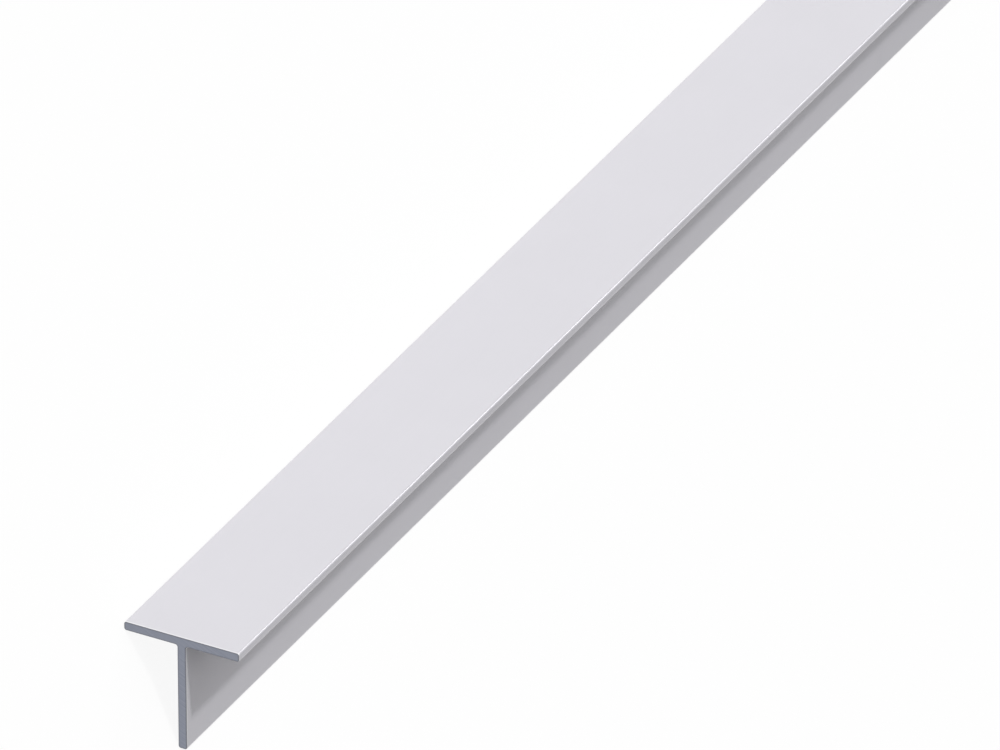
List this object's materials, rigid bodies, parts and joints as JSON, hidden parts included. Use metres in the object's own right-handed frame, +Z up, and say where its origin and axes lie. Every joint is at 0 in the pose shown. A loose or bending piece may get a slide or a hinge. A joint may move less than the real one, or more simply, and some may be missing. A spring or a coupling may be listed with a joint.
{
  "type": "aluminium t-profile",
  "caption": "Straight extruded bar of equal-legged T section with thin walls and square-cut ends, for covering and joining the edges of panels.",
  "frame": {"origin": "on the ground plane, under the middle of the bar's bounding box", "axes": "+Y along the bar, from the end the picture shows to the far end; +Z up; the bar lies as it comes to rest, on the left edge of its flange and on the tip of its web, so the flange's outer face looks to -X and up and the web slopes down towards +X"},
  "size_m": [0.0224, 1, 0.0183],
  "materials": {
    "anodised_aluminium": "satin, fine lengthwise extrusion lines, sawn ends"
  },
  "bodies": {
    "root": {"t_profile": "anodised_aluminium"}
  },
  "joints": []
}
